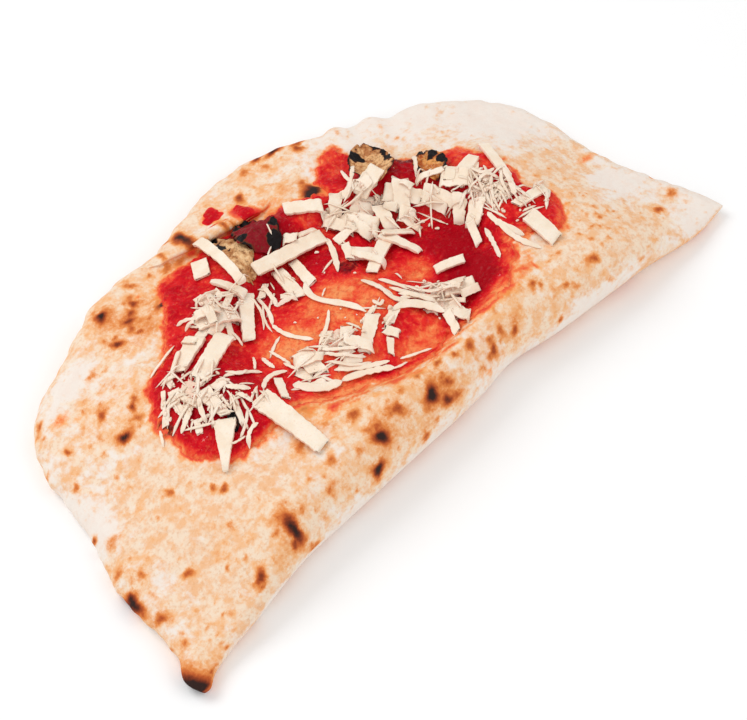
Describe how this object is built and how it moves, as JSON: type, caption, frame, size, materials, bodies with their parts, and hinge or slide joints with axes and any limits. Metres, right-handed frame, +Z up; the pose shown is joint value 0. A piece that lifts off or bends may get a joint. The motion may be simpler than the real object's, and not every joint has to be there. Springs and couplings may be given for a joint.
{
  "type": "calzone",
  "caption": "Half-moon of folded pizza dough, sealed along its curved edge, baked and topped with tomato sauce, charred basil and coarsely grated hard cheese.",
  "frame": {"origin": "centre of the bounding box on the surface that the calzone lies on", "axes": "+X along the straight fold towards the plain tip, +Y from the fold to the sealed curved edge, +Z up"},
  "size_m": [0.313, 0.1664, 0.0373],
  "materials": {
    "baked_dough": "pale baked dough, dusted with flour, with tan and dark brown leopard spots",
    "sauce": "wet red tomato sauce, orange where it is thin",
    "cheese": "ivory hard cheese, slightly waxy, with rough grated edges",
    "basil": "dried olive-tan basil leaf with charred black edges"
  },
  "bodies": {
    "root": {"crust": "baked_dough", "tomato_sauce": "sauce", "basil_leaf_1": "basil", "basil_leaf_2": "basil", "basil_leaf_3": "basil", "basil_leaf_4": "basil", "basil_leaf_5": "basil", "grated_cheese_1": "cheese", "grated_cheese_2": "cheese", "grated_cheese_3": "cheese", "grated_cheese_4": "cheese", "grated_cheese_5": "cheese", "grated_cheese_6": "cheese", "cheese_shaving_01": "cheese", "cheese_shaving_02": "cheese", "cheese_shaving_03": "cheese", "cheese_shaving_04": "cheese", "cheese_shaving_05": "cheese", "cheese_shaving_06": "cheese", "cheese_shaving_07": "cheese", "cheese_shaving_08": "cheese", "cheese_shaving_09": "cheese", "cheese_shaving_10": "cheese", "cheese_shaving_11": "cheese", "cheese_shaving_12": "cheese", "cheese_shaving_13": "cheese", "cheese_shaving_14": "cheese", "cheese_shaving_15": "cheese", "cheese_shaving_16": "cheese", "cheese_shaving_17": "cheese", "cheese_shaving_18": "cheese", "cheese_shaving_19": "cheese", "cheese_shaving_20": "cheese", "cheese_shaving_21": "cheese", "cheese_shaving_22": "cheese", "cheese_shaving_23": "cheese", "cheese_shaving_24": "cheese", "cheese_shaving_25": "cheese", "cheese_shaving_26": "cheese", "cheese_shaving_27": "cheese"}
  },
  "joints": []
}
